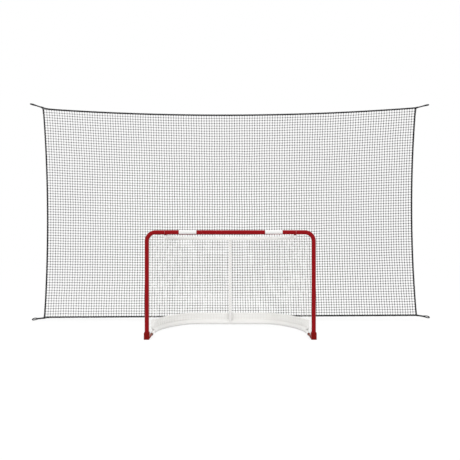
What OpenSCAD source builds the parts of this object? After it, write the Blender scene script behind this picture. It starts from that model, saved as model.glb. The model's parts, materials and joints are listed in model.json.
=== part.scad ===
// Steel-framed hockey goal with laced netting, and the roped backstop net that hangs behind it.
// +X runs along the crossbar, +Y runs back into the goal, +Z is up.
// The origin is on the floor, in the middle of the footprint of the goal and the backstop.

/* [Goal mouth] */
// Clear width between the two posts
mouth_w = 1829; // [1600:1:1900]
// Clear height from the floor to the underside of the crossbar
mouth_h = 1180; // [1100:1:1300]

/* [Red pipe] */
// Outside diameter of the posts and the crossbar
pipe_d = 48.3; // [44:0.1:58]
// Wall of that pipe
pipe_wall = 2; // [1.5:0.1:3]
// Bend radius of the two upper corners, at the middle of the pipe
corner_r = 100; // [80:1:140]
// Straight pipe past each corner, as far as the joint in the crossbar
corner_stub = 100; // [80:1:140]
// Length of the sleeve inside each crossbar joint
coupler_l = 160; // [120:1:190]
// Wall of that sleeve
coupler_wall = 2.5; // [2:0.1:4]

/* [Feet] */
// Width of the square boot on the foot of each post
boot_d = 61; // [59:0.5:66]
// Height of the boot
boot_h = 83; // [76:1:110]
// Height of the boot's sloped shoulder
boot_shoulder = 12; // [8:1:20]
// Thickness of the boot under the post
boot_floor = 6; // [4:0.5:10]
// Diameter of the rod that joins each boot to the base pipe
spigot_d = 25.4; // [20:0.1:28]
// Length of that rod inside the base pipe
spigot_insert = 70; // [50:1:80]

/* [White base pipe] */
// Outside diameter of the base pipe
base_d = 38.1; // [36:0.1:42]
// Distance of each base leg from the middle of the goal
base_leg_x = 914; // [910:1:918]
// Straight length at the front of the base pipe, ahead of its bend
base_lead = 86; // [60:1:110]
// Depth of the base, from the goal line to the middle of the rear pipe
base_depth = 976; // [900:1:1020]
// Radius of the wide part of each base bend
base_r_wide = 800; // [740:1:830]
// Radius of the tight part of each base bend
base_r_tight = 250; // [220:1:320]

/* [White top pipe] */
// Outside diameter of the top pipe
top_d = 34.9; // [31:0.1:38]
// Depth of the top, from the goal line to the middle of the rear pipe
top_depth = 550; // [500:1:600]
// Fall of the top pipe from the crossbar to its rear
top_drop = 27; // [20:1:60]
// Radius of the wide part of each top bend
top_r_wide = 420; // [380:1:440]
// Radius of the tight part of each top bend
top_r_tight = 230; // [200:1:260]
// Thickness of the saddle between the crossbar and the top pipe
saddle_h = 8; // [5:0.5:12]

/* [White pipe, common] */
// Wall of every white pipe
frame_wall = 1.8; // [1.5:0.1:2.5]
// Outside diameter of the post at the middle of the back
centre_d = 38.1; // [32:0.1:38.1]
// Length of the sleeves that join the two halves of the base and of the top
joiner_l = 140; // [110:1:200]
// Wall of those sleeves and of the plugs in the centre post
sleeve_wall = 2.5; // [2:0.1:4]
// Width of the two brackets that hold the centre post
bracket_w = 84; // [76:1:110]
// Thickness of those brackets
bracket_t = 3; // [2:0.5:5]
// Depth of each bracket's plug inside the centre post
plug_l = 50; // [30:1:80]

/* [Fasteners] */
// Diameter of the bolts through the crossbar joints and the boots
bolt_d = 8; // [6:0.5:10]
// Diameter of the screws through the centre post's brackets
screw_d = 6; // [4:0.5:7]
// Gap between pieces that slide into each other
fit_gap = 0.2; // [0.1:0.05:0.3]

/* [Goal netting] */
// Size of one mesh of the goal netting
goal_mesh = 76; // [60:1:110]
// Width and thickness of the goal netting's cord
goal_cord = 4; // [3:0.5:5]
// Height of the fabric skirt above the floor
skirt_h = 166; // [120:1:220]
// Thickness of the skirt
skirt_t = 2; // [1:0.5:3]

/* [Backstop] */
// Width of the backstop, from knot to knot
stop_w = 5030; // [4500:1:5500]
// Height of the backstop, from knot to knot
stop_h = 2810; // [2400:1:3000]
// Height of the lower knots above the floor
stop_floor = 68; // [50:1:150]
// Distance of the backstop behind the goal line
stop_y = 1200; // [1100:1:1500]
// Sag of the top rope at its middle
top_sag = 70; // [40:1:120]
// Inward bow of each side rope at its middle
side_bow = 42; // [20:1:80]
// Diameter of the border rope
rope_d = 11; // [8:0.5:14]
// Width and thickness of the backstop netting's cord
stop_cord = 6; // [4:0.5:8]
// Meshes across the width of the backstop
stop_cols = 24; // [16:1:24]
// Meshes up the height of the backstop
stop_rows = 12; // [8:1:12]
// Diameter of the tie loops' cord
loop_d = 9; // [7:0.5:10]
// Length of the two upper tie loops
loop_top_l = 190; // [150:1:230]
// Length of the two lower tie loops
loop_low_l = 172; // [150:1:230]
// Length of the whipping that gathers the ropes at each corner
knot_l = 42; // [30:1:60]
// Diameter of that whipping
knot_d = 24; // [22:1:36]

/* [Hidden] */

RED = "#a3161b";
DARK_RED = "#7c1a14";
WHITE = "#f1f1ee";
CLOTH = "#e9e8e2";
STEEL = "#b4b7ba";
BLACK = "#1c1c1e";

eps = 0.01;
round_fn = 96;
bend_fn = 240;

// Red frame
pipe_r = pipe_d / 2;
post_x = mouth_w / 2 + pipe_r;
bar_z = mouth_h + pipe_r;
bend_z = bar_z - corner_r;
joint_x = post_x - corner_r - corner_stub;
seam = 1;
coupler_r = pipe_r - pipe_wall - fit_gap;
bolt_x = joint_x - seam - bolt_d * 1.2;
bolt_r = bolt_d / 2;
bolt_hole_r = bolt_r + fit_gap;
bolt_end = 4;
head_share = 0.65;
corner_share = 0.94;
head_h = bolt_d * head_share;
head_r = bolt_d * corner_share;

// Feet
boot_r = boot_d / 2;
boot_bore_r = pipe_r + fit_gap;
shoulder_r = pipe_r + 2;
spigot_r = spigot_d / 2;
foot_bolt_z = boot_h * 0.62;

// Base and top pipes: a straight leg, a wide bend, a tight bend and a straight rear
turn = atan2(4, 3);
base_r = base_d / 2;
top_r = top_d / 2;
centre_r = centre_d / 2;
base = [base_leg_x, base_depth, base_r_wide, base_r_tight];
top = [bolt_x, top_depth, top_r_wide, top_r_tight];
base_front = bend_start(base) - base_lead;
top_front = pipe_r / 2;
top_front_z = mouth_h - saddle_h - top_r;
top_rear_z = top_front_z - top_drop;
top_slope = asin(top_drop / top_depth);
top_rear_y = top_depth * cos(top_slope);
centre_dy = base_depth - top_rear_y;
centre_dz = top_rear_z - base_r;
centre_len = norm([centre_dy, centre_dz]);
centre_lean = atan2(centre_dy, centre_dz);
screw_x = (bracket_w + centre_d) / 4;
screw_r = screw_d / 2;

// Netting round the goal: flat panels, each square to one of these headings
headings = [15, 30, 45, 60, 75];
side_start = boot_r + head_h + 3;
corner_turn = 120;
net_floor = 12;
lace = 0.3;
net_off = (max(base_r, centre_r) + goal_cord / 2 + lace) / cos(centre_lean);
skirt_off = net_off + (goal_cord + skirt_t) / 2 / cos(centre_lean) + lace;
// The panels lean in, so below the middle of the base pipe they stand further out
low_extra = (base_r - net_floor) * tan(centre_lean);
panel_gap = 0.8;
fold_gap = 3.5;
post_panel_tip = 0.08;

// Backstop
rope_r = rope_d / 2;
knot_r = knot_d / 2;
knot_x = stop_w / 2;
low_z = stop_floor;
high_z = stop_floor + stop_h;
corner_pull_top = 22;
corner_pull_low = 12;
corner_pull_side = 15;
pull_reach = 45;
loop_up = 16;
loop_down = 15;
loop_r = loop_d / 2;
strand = loop_r + 0.7;
eye_r = loop_d * 2;
rope_steps = 32;
stop_gap = 1;

// Middle of the footprint
origin_y = (stop_y + knot_r - boot_r) / 2;

// ---------- plan of a bent pipe ----------
// plan = [leg distance, depth, wide radius, tight radius]
function bend_start(p) = p[1] - p[2] * sin(turn) - p[3] * (1 - sin(turn));
function wide_centre(p) = [p[0] - p[2], bend_start(p)];
function tight_centre(p) = wide_centre(p) + (p[2] - p[3]) * [cos(turn), sin(turn)];
function half_rear(p) = tight_centre(p)[0];
// How far the plan reaches along a heading, moved out by off
function reach(p, h, off) = h <= turn
    ? wide_centre(p) * [cos(h), sin(h)] + p[2] + off
    : tight_centre(p) * [cos(h), sin(h)] + p[3] + off;
// Where the tangents at two headings cross
function crossing(p, h1, h2, off) =
    let (s1 = reach(p, h1, off), s2 = reach(p, h2, off))
    [s1 * sin(h2) - s2 * sin(h1), s2 * cos(h1) - s1 * cos(h2)] / sin(h2 - h1);
function outline(p, off) = let (h = concat([0], headings, [90]))
    [for (i = [0 : len(h) - 2]) crossing(p, h[i], h[i + 1], off)];
// Half the width of the plan at a given depth
function half_width(p, y) = let (d = y - bend_start(p), t = y - tight_centre(p)[1])
    d <= 0 ? p[0]
    : d <= p[2] * sin(turn) ? wide_centre(p)[0] + sqrt(p[2] * p[2] - d * d)
    : tight_centre(p)[0] + sqrt(max(0, p[3] * p[3] - t * t));

// ---------- small helpers ----------
function mix(a, b, t) = a + (b - a) * t;
function unit(v) = v / norm(v);

module ring(r, wall) {
    difference() {
        circle(r = r, $fn = round_fn);
        circle(r = r - wall, $fn = round_fn);
    }
}

module pipe_x(x0, x1, r, wall) {
    translate([x0, 0, 0]) rotate([90, 0, 90])
        linear_extrude(x1 - x0) ring(r, wall);
}

module rod_x(x0, x1, r) {
    translate([x0, 0, 0]) rotate([0, 90, 0]) cylinder(h = x1 - x0, r = r, $fn = round_fn);
}

module hex_bolt(d, shank) {
    translate([0, 0, -eps]) cylinder(h = shank + eps, r = d / 2, $fn = 48);
    translate([0, 0, -head_share * d])
        cylinder(h = head_share * d, r = corner_share * d, $fn = 6);
}

// The part of a bend that lies between two headings; the child is the pipe's section
module bend(centre, radius, h1, h2) {
    far = 2 * radius;
    wedge = [[0, 0], for (h = [h1, (h1 + h2) / 2, h2]) far * [cos(h), sin(h)]];
    translate(centre) intersection() {
        rotate_extrude(angle = 90, $fn = bend_fn) translate([radius, 0]) children();
        linear_extrude(pipe_d * 2, center = true) polygon(wedge);
    }
}

// The right half of a bent pipe, from its leg's front to the middle of the rear
module bent_pipe(p, r, wall, leg_front) {
    translate([p[0], leg_front, 0]) rotate([-90, 0, 0])
        linear_extrude(bend_start(p) - leg_front) ring(r, wall);
    bend(wide_centre(p), p[2], 0, turn) ring(r, wall);
    bend(tight_centre(p), p[3], turn, 90) ring(r, wall);
    translate([0, p[1], 0]) pipe_x(seam / 2, half_rear(p), r, wall);
}

// ---------- flat netting ----------
// rows is a list of rows of plane points; every cell between them is one mesh
function cell(rows, i, j, cord, edge_u, edge_v) =
    let (
        a = rows[j][i], b = rows[j][i + 1], c = rows[j + 1][i + 1], d = rows[j + 1][i],
        wide = (norm(b - a) + norm(c - d)) / 2,
        tall = (norm(d - a) + norm(c - b)) / 2,
        l = (i == 0 ? edge_u : cord / 2) / wide,
        r = 1 - (i == len(rows[0]) - 2 ? edge_u : cord / 2) / wide,
        lo = (j == 0 ? edge_v : cord / 2) / tall,
        hi = 1 - (j == len(rows) - 2 ? edge_v : cord / 2) / tall
    )
    [mix(mix(a, b, l), mix(d, c, l), lo), mix(mix(a, b, r), mix(d, c, r), lo),
     mix(mix(a, b, r), mix(d, c, r), hi), mix(mix(a, b, l), mix(d, c, l), hi)];

function border(rows) = let (m = len(rows) - 1, n = len(rows[0]) - 1)
    concat(
        rows[0],
        [for (j = [1 : m]) rows[j][n]],
        [for (i = [n - 1 : -1 : 0]) rows[m][i]],
        [for (j = [m - 1 : -1 : 1]) rows[j][0]]
    );

module net_sheet(rows, cord, thick, outer) {
    linear_extrude(thick, center = true)
        difference() {
            polygon(outer);
            for (j = [0 : len(rows) - 2], i = [0 : len(rows[0]) - 2])
                if (norm(rows[j][i + 1] - rows[j][i]) > cord * 3)
                    polygon(cell(rows, i, j, cord, cord, cord));
        }
}

// Puts a plane drawing on the panel with this lower edge and one upper corner
module on_panel(b0, b1, t0) {
    ex = unit(b1 - b0);
    ey = unit(t0 - b0 - ((t0 - b0) * ex) * ex);
    ez = cross(ex, ey);
    multmatrix([
        [ex[0], ey[0], ez[0], b0[0]],
        [ex[1], ey[1], ez[1], b0[1]],
        [ex[2], ey[2], ez[2], b0[2]],
        [0, 0, 0, 1]
    ]) children();
}

// Plane position of a space point on that same panel
function plane_pt(q, b0, b1, t0) =
    let (ex = unit(b1 - b0), ey = unit(t0 - b0 - ((t0 - b0) * ex) * ex))
    [(q - b0) * ex, (q - b0) * ey];

// A four-cornered panel whose lower and upper edges are parallel
function panel_rows(b0, b1, t0, t1, nu, nv, g) =
    let (w0 = norm(b1 - b0), w1 = norm(t1 - t0))
    [for (j = [0 : nv]) [for (i = [0 : nu])
        let (
            l = mix(b0, t0, j / nv), r = mix(b1, t1, j / nv),
            gap = g / max(norm(r - l), 3 * g),
            k = mix(gap, 1 - gap, i / nu)
        )
        plane_pt(mix(l, r, k), b0, b1, t0)]];

module net_panel(b0, b1, t0, t1) {
    nu = max(2, round(max(norm(b1 - b0), norm(t1 - t0)) / goal_mesh));
    nv = round(norm(t0 - b0) / goal_mesh);
    rows = panel_rows(b0, b1, t0, t1, nu, nv, panel_gap);
    on_panel(b0, b1, t0) net_sheet(rows, goal_cord, goal_cord, border(rows));
}

// The sheet between a post and the first side panel, with its point at the floor
module post_panel(foot, head, back) {
    nv = round(norm(head - foot) / goal_mesh);
    nu = round(norm(head - back) / goal_mesh);
    rows = [for (j = [0 : nv]) [for (i = [0 : nu])
        let (t = mix(post_panel_tip, 1, j / nv), gap = fold_gap / (t * norm(head - back)))
        plane_pt(mix(mix(foot, back, t), mix(foot, head, t), mix(gap, 1, i / nu)),
            back, head, foot)]];
    on_panel(back, head, foot) net_sheet(rows, goal_cord, goal_cord, border(rows));
}

module cloth_panel(b0, b1, t0, t1, v) {
    u0 = mix(b0, t0, v);
    u1 = mix(b1, t1, v);
    rows = panel_rows(b0, b1, u0, u1, 1, 1, panel_gap);
    on_panel(b0, b1, u0) linear_extrude(skirt_t, center = true) polygon(border(rows));
}

function low_line(off) = [for (q = outline(base, off + low_extra)) [q[0], q[1], net_floor]];
function high_line(off) = [for (q = outline(top, off)) [q[0], q[1], top_rear_z]];
function flip(q) = [-q[0], q[1], q[2]];

// ---------- rope ----------
// A round rope along points in one upright plane
module rope(points, r, sides) {
    n = len(points);
    function dir(i) = unit(points[min(i + 1, n - 1)] - points[max(i - 1, 0)]);
    rings = [for (i = [0 : n - 1], k = [0 : sides - 1])
        let (d = dir(i), a = 360 * k / sides)
        [points[i][0] - d[1] * r * cos(a), r * sin(a), points[i][1] + d[0] * r * cos(a)]];
    walls = [for (i = [0 : n - 2], k = [0 : sides - 1])
        let (a = i * sides + k, b = i * sides + (k + 1) % sides)
        each [[a, b + sides, b], [a, a + sides, b + sides]]];
    first = [for (k = [1 : sides - 2]) [0, k, k + 1]];
    last = [for (k = [1 : sides - 2]) let (o = (n - 1) * sides) [o, o + k + 1, o + k]];
    polyhedron(points = rings, faces = concat(walls, first, last));
}

// The netting's edges, and how far a rope leaves them towards the knots
function arch(t) = 4 * t * (1 - t);
function net_top(u) = high_z - corner_pull_top - top_sag * arch(u);
function net_low() = low_z + corner_pull_low;
function net_side(v) = knot_x - corner_pull_side - side_bow * arch(v);
function pull(t, l, depth) = depth * exp((abs(t - 0.5) - 0.5) * l / pull_reach);
function ease(i, n) = (1 - cos(180 * i / n)) / 2;
function top_edge(u) = net_top(u) + pull(u, stop_w, corner_pull_top);
function low_edge(u) = net_low() - pull(u, stop_w, corner_pull_low);
function side_edge(v) = net_side(v) + pull(v, stop_h, corner_pull_side);

// A plane point of the backstop's netting, inset by g from its four edges
function stop_pt(u, v, g) =
    [(2 * u - 1) * (net_side(v) - g), mix(net_low() + g, net_top(u) - g, v)];

// ---------- red frame ----------
module post() {
    color(RED) difference() {
        union() {
            translate([post_x, 0, boot_floor]) linear_extrude(bend_z - boot_floor)
                ring(pipe_r, pipe_wall);
            translate([post_x - corner_r, 0, bend_z]) rotate([90, 0, 0])
                rotate_extrude(angle = 90, $fn = bend_fn)
                    translate([corner_r, 0]) ring(pipe_r, pipe_wall);
            translate([0, 0, bar_z])
                pipe_x(joint_x, post_x - corner_r, pipe_r, pipe_wall);
        }
        translate([post_x, 0, foot_bolt_z]) rotate([-90, 0, 0])
            cylinder(h = boot_r, r = bolt_hole_r, $fn = 48);
    }
}

module crossbar() {
    color(RED) difference() {
        translate([0, 0, bar_z]) pipe_x(-joint_x + seam, joint_x - seam, pipe_r, pipe_wall);
        for (s = [-1, 1]) translate([s * bolt_x, 0, mouth_h - eps])
            cylinder(h = pipe_r, r = bolt_hole_r, $fn = 48);
    }
}

module coupler() {
    color(STEEL) difference() {
        translate([0, 0, bar_z])
            pipe_x(joint_x - coupler_l / 2, joint_x + coupler_l / 2, coupler_r, coupler_wall);
        translate([bolt_x, 0, mouth_h]) cylinder(h = pipe_r, r = bolt_hole_r, $fn = 48);
    }
}

module saddle() {
    width = bolt_d * 3;
    color(DARK_RED) translate([bolt_x, 0, 0]) difference() {
        translate([-width / 2, -pipe_r * 0.6, top_front_z])
            cube([width, pipe_r * 1.2, bar_z - top_front_z]);
        translate([0, 0, bar_z]) rod_x(-width, width, pipe_r + fit_gap);
        translate([0, 0, top_front_z]) rotate([90 - top_slope, 0, 0])
            cylinder(h = pipe_d * 2, r = top_r + fit_gap, center = true, $fn = round_fn);
        translate([0, 0, top_front_z]) cylinder(h = pipe_d, r = bolt_hole_r, $fn = 48);
    }
}

module crossbar_bolts() {
    drop = head_r * tan(top_slope) + fit_gap;
    length = 2 * top_r + drop + saddle_h + pipe_wall + coupler_wall + bolt_end;
    color(STEEL) for (s = [-1, 1])
        translate([s * bolt_x, 0, top_front_z - top_r - drop]) hex_bolt(bolt_d, length);
}

// ---------- feet ----------
// A square boot with rounded corners and a sloped shoulder on all four sides
module boot() {
    profile = [
        [1.5 - boot_r, 0], [boot_r - 1.5, 0], [boot_r, 1.5], [boot_r, boot_h - boot_shoulder],
        [shoulder_r, boot_h], [-shoulder_r, boot_h], [-boot_r, boot_h - boot_shoulder],
        [-boot_r, 1.5]
    ];
    intersection() {
        rotate([90, 0, 0]) linear_extrude(boot_d * 2, center = true) polygon(profile);
        rotate([90, 0, 90]) linear_extrude(boot_d * 2, center = true) polygon(profile);
        cylinder(h = boot_h, r = boot_r * 1.27, $fn = round_fn);
    }
}

module foot() {
    length = base_front + spigot_insert - boot_r / 2;
    rod = [
        [0, 0], [spigot_r * 0.6, 0], [spigot_r, spigot_r / 2], [spigot_r, length - 2],
        [spigot_r - 2, length], [0, length]
    ];
    color(RED) difference() {
        union() {
            translate([post_x, 0, 0]) boot();
            translate([base_leg_x, boot_r / 2, base_r]) rotate([-90, 0, 0])
                rotate_extrude($fn = round_fn) polygon(rod);
        }
        translate([post_x, 0, boot_floor - fit_gap])
            cylinder(h = boot_h, r = boot_bore_r, $fn = round_fn);
        translate([post_x, 0, foot_bolt_z]) rotate([-90, 0, 0])
            cylinder(h = boot_d, r = bolt_hole_r, $fn = 48);
    }
}

module foot_bolts() {
    color(STEEL) for (s = [-1, 1])
        translate([s * post_x, boot_r + fit_gap, foot_bolt_z]) rotate([90, 0, 0])
            hex_bolt(bolt_d, boot_r - pipe_r + pipe_wall + bolt_end);
}

// ---------- white frame ----------
module base_pipe() {
    color(WHITE) difference() {
        translate([0, 0, base_r]) bent_pipe(base, base_r, frame_wall, base_front);
        translate([0, base_depth, base_r]) rotate([centre_lean, 0, 0]) screw_holes(base_r);
    }
}

module spigot_bushes() {
    wall = base_r - frame_wall - spigot_r - 2 * fit_gap;
    color(BLACK) for (s = [0, 1]) mirror([s, 0, 0])
        translate([base_leg_x, base_front, base_r]) rotate([-90, 0, 0])
            linear_extrude(spigot_insert / 2) ring(base_r - frame_wall - fit_gap, wall);
}

module top_pipe() {
    color(WHITE) difference() {
        translate([0, 0, top_front_z]) rotate([-top_slope, 0, 0])
            bent_pipe(top, top_r, frame_wall, -top_front);
        translate([bolt_x, 0, top_front_z])
            cylinder(h = top_d * 2, r = bolt_hole_r, center = true, $fn = 48);
        translate([0, top_rear_y, top_rear_z]) rotate([180 + centre_lean, 0, 0])
            screw_holes(top_r);
    }
}

module top_pipe_plugs() {
    plug_r = top_r - frame_wall - fit_gap;
    color(BLACK) for (s = [-1, 1])
        translate([s * bolt_x, 0, top_front_z]) rotate([90 - top_slope, 0, 0])
            translate([0, 0, top_front]) {
                translate([0, 0, fit_gap]) cylinder(h = 3, r1 = top_r, r2 = top_r - 2, $fn = round_fn);
                translate([0, 0, bolt_r * 1.5 - top_front])
                    cylinder(h = top_front - bolt_r * 1.5 + fit_gap + eps, r = plug_r, $fn = round_fn);
            }
}

module joiner(r) {
    pipe_x(-joiner_l / 2, joiner_l / 2, r - frame_wall - fit_gap, sleeve_wall);
}

module screw_holes(r) {
    for (s = [-1, 1]) translate([s * screw_x, 0, 0])
        cylinder(h = r * 1.5, r = screw_r + fit_gap, $fn = 32);
}

module base_joiner() {
    color(STEEL) translate([0, base_depth, base_r]) rotate([centre_lean, 0, 0]) difference() {
        joiner(base_r);
        screw_holes(base_r);
    }
}

module top_joiner() {
    color(STEEL) translate([0, top_rear_y, top_rear_z]) rotate([180 + centre_lean, 0, 0])
        difference() {
            joiner(top_r);
            screw_holes(top_r);
        }
}

// A half shell on the pipe with a plug that fills the end of the centre post
module bracket(r) {
    inner = r + fit_gap;
    outer = inner + bracket_t;
    plug_r = centre_r - frame_wall - fit_gap;
    difference() {
        union() {
            intersection() {
                rod_x(-bracket_w / 2, bracket_w / 2, outer);
                translate([-bracket_w / 2, -outer, outer * 0.55])
                    cube([bracket_w, outer * 2, outer]);
            }
            difference() {
                cylinder(h = outer + plug_l, r = plug_r, $fn = round_fn);
                translate([0, 0, outer])
                    cylinder(h = plug_l + eps, r = plug_r - sleeve_wall, $fn = round_fn);
            }
        }
        rod_x(-bracket_w, bracket_w, inner);
        for (s = [-1, 1]) translate([s * screw_x, 0, 0])
            cylinder(h = outer * 1.5, r = screw_r + fit_gap, $fn = 32);
    }
}

module bracket_screw_pair(r) {
    seat = r + 2 * fit_gap + bracket_t;
    for (s = [-1, 1]) translate([s * screw_x, 0, seat]) rotate([180, 0, 0])
        hex_bolt(screw_d, seat - r + frame_wall + sleeve_wall + bolt_end);
}

module lower_bracket() {
    color(WHITE) translate([0, base_depth, base_r]) rotate([centre_lean, 0, 0]) bracket(base_r);
}

module upper_bracket() {
    color(WHITE) translate([0, top_rear_y, top_rear_z]) rotate([180 + centre_lean, 0, 0])
        bracket(top_r);
}

module bracket_screws() {
    color(STEEL) {
        translate([0, base_depth, base_r]) rotate([centre_lean, 0, 0])
            bracket_screw_pair(base_r);
        translate([0, top_rear_y, top_rear_z]) rotate([180 + centre_lean, 0, 0])
            bracket_screw_pair(top_r);
    }
}

module centre_post() {
    seat = 2 * fit_gap + bracket_t;
    color(WHITE) translate([0, base_depth, base_r]) rotate([centre_lean, 0, 0]) difference() {
        linear_extrude(centre_len) ring(centre_r, frame_wall);
        rod_x(-centre_d, centre_d, base_r + seat);
        translate([0, 0, centre_len]) rod_x(-centre_d, centre_d, top_r + seat);
    }
}

// ---------- goal netting ----------
module side_netting() {
    low = low_line(net_off);
    high = high_line(net_off);
    foot = [low[0][0], side_start, net_floor];
    head = [foot[0], side_start, top_rear_z];
    back = [high[0][0], corner_turn, top_rear_z];
    color(WHITE) {
        post_panel(foot, head, back);
        net_panel(foot, low[0], back, high[0]);
        for (i = [0 : len(low) - 2]) net_panel(low[i], low[i + 1], high[i], high[i + 1]);
    }
}

module back_netting() {
    low = low_line(net_off);
    high = high_line(net_off);
    n = len(low) - 1;
    color(WHITE) net_panel(low[n], flip(low[n]), high[n], flip(high[n]));
}

module roof_netting() {
    y0 = pipe_r + 5;
    lap = top_r / 2;
    nv = round((top_depth + lap - y0) / goal_mesh);
    nu = round(2 * bolt_x / goal_mesh);
    roof = [top[0] + lap, top[1] + lap, top[2] + lap, top[3] + lap];
    rows = [for (j = [0 : nv])
        let (y = mix(y0, top_depth + lap, j / nv), w = half_width(roof, y))
        [for (i = [0 : nu]) [(2 * i / nu - 1) * w, y]]];
    color(WHITE) translate([0, 0, top_front_z]) rotate([-top_slope, 0, 0])
        translate([0, 0, top_r + goal_cord / 2 + lace])
            net_sheet(rows, goal_cord, goal_cord, border(rows));
}

module side_skirt() {
    low = low_line(skirt_off);
    high = high_line(skirt_off);
    v = (skirt_h - net_floor) / (top_rear_z - net_floor);
    color(CLOTH) for (i = [0 : len(low) - 2])
        cloth_panel(low[i], low[i + 1], high[i], high[i + 1], v);
}

module back_skirt() {
    low = low_line(skirt_off);
    high = high_line(skirt_off);
    n = len(low) - 1;
    v = (skirt_h - net_floor) / (top_rear_z - net_floor);
    color(CLOTH) cloth_panel(low[n], flip(low[n]), high[n], flip(high[n]), v);
}

// ---------- backstop ----------
module backstop_netting() {
    inset = rope_r * 1.1 + stop_gap;
    rows = [for (j = [0 : stop_rows])
        [for (i = [0 : stop_cols])
            stop_pt(i / stop_cols, j / stop_rows, inset)]];
    color(BLACK) translate([0, stop_y, 0]) rotate([90, 0, 0])
        net_sheet(rows, stop_cord, stop_cord, border(rows));
}

module level_rope(z_of) {
    color(BLACK) translate([0, stop_y, 0])
        rope([for (i = [0 : rope_steps])
            let (u = ease(i, rope_steps)) [(2 * u - 1) * knot_x, z_of(u)]], rope_r, 8);
}

module side_rope() {
    color(BLACK) translate([0, stop_y, 0])
        rope([for (i = [0 : rope_steps])
            let (v = ease(i, rope_steps)) [side_edge(v), mix(low_z, high_z, v)]], rope_r, 8);
}

// Works in the upright plane, with +X out of the corner along the pull
module at_corner(z, angle) {
    translate([knot_x, stop_y, z]) rotate([0, -angle, 0]) children();
}

module knot() {
    lobe = knot_l / 6;
    color(BLACK) translate([-knot_l / 3, 0, 0]) rotate([0, 90, 0])
        rotate_extrude($fn = 48) {
            square([knot_r - lobe, knot_l]);
            for (i = [0 : 2]) intersection() {
                translate([knot_r - lobe, lobe * (2 * i + 1)]) circle(r = lobe, $fn = 32);
                square([knot_d, knot_l]);
            }
        }
}

module loop(length) {
    start = knot_l * 2 / 3;
    tip = length - eye_r - loop_r;
    out = [for (i = [0 : 10])
        let (t = i / 10, k = max(0, (t - 0.35) / 0.65), s = k * k * (3 - 2 * k))
        [mix(start, tip, t), mix(strand, eye_r, s)]];
    bend = [for (a = [75 : -15 : -75]) [tip + eye_r * cos(a), eye_r * sin(a)]];
    back = [for (i = [10 : -1 : 0]) [out[i][0], -out[i][1]]];
    color(BLACK) rope(concat(out, bend, back), loop_r, 8);
}

// ---------- assembly ----------
module place() translate([0, -origin_y, 0]) children();
module right() place() children();
module left() place() mirror([1, 0, 0]) children();

left() post();  // left_post
right() post();  // right_post
place() crossbar();
left() coupler();  // left_coupler
right() coupler();  // right_coupler
left() saddle();  // left_saddle
right() saddle();  // right_saddle
place() crossbar_bolts();
left() foot();  // left_foot
right() foot();  // right_foot
place() foot_bolts();
left() base_pipe();  // left_base_pipe
right() base_pipe();  // right_base_pipe
place() base_joiner();
place() spigot_bushes();
left() top_pipe();  // left_top_pipe
right() top_pipe();  // right_top_pipe
place() top_joiner();
place() top_pipe_plugs();
place() centre_post();
place() upper_bracket();
place() lower_bracket();
place() bracket_screws();
place() back_netting();
left() side_netting();  // left_netting
right() side_netting();  // right_netting
place() roof_netting();
place() back_skirt();
left() side_skirt();  // left_skirt
right() side_skirt();  // right_skirt
place() backstop_netting();
place() level_rope(function (u) top_edge(u));  // top_rope
place() level_rope(function (u) low_edge(u));  // bottom_rope
left() side_rope();  // left_rope
right() side_rope();  // right_rope
left() at_corner(high_z, loop_up) knot();  // top_left_knot
right() at_corner(high_z, loop_up) knot();  // top_right_knot
left() at_corner(low_z, -loop_down) knot();  // bottom_left_knot
right() at_corner(low_z, -loop_down) knot();  // bottom_right_knot
left() at_corner(high_z, loop_up) loop(loop_top_l);  // top_left_loop
right() at_corner(high_z, loop_up) loop(loop_top_l);  // top_right_loop
left() at_corner(low_z, -loop_down) loop(loop_low_l);  // bottom_left_loop
right() at_corner(low_z, -loop_down) loop(loop_low_l);  // bottom_right_loop
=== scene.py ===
# %% [markdown]
# # A hockey goal and its roped backstop net
# The real thing is a bolted frame of bent steel pipe with netting laced to it, and a large
# black net that hangs behind it in a rope border. The pipes, sleeves, bolts and brackets come
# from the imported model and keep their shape. This lesson makes everything that is soft, and
# gives each surface its finish.
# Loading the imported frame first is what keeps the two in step: every piece made here is
# placed by what the model says, and nothing is fitted by eye.

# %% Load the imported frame
import json
import math

import bpy
import numpy as np
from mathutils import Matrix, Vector

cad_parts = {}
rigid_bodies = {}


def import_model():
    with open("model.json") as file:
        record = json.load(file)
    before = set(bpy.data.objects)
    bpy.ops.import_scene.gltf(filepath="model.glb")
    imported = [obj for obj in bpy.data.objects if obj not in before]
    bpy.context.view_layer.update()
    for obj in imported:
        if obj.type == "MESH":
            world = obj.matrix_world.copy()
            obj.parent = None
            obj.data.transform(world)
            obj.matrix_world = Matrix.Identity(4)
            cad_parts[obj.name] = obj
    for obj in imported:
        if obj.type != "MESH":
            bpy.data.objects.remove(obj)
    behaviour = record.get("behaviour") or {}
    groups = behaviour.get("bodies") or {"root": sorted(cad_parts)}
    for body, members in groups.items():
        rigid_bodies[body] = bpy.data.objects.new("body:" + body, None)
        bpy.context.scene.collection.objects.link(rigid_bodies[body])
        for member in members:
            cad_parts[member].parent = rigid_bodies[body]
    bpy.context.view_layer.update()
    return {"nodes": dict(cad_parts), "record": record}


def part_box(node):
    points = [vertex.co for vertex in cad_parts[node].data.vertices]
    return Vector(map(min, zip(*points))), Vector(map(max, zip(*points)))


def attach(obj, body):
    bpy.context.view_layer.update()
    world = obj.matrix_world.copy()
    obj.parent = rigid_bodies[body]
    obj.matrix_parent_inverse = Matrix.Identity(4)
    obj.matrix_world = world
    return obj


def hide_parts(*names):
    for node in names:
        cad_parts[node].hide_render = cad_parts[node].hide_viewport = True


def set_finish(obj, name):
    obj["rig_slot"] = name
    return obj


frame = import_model()

# %% [markdown]
# ## Where the goal line is
# A goal is measured from its goal line, the middle of the posts. The model's origin is the
# middle of the whole footprint, so the goal line is read from the crossbar's own box. The
# sizes below are the frame's driving sizes, in metres, and the soft pieces are worked out
# from them in the same way as the pipes are.

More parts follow.
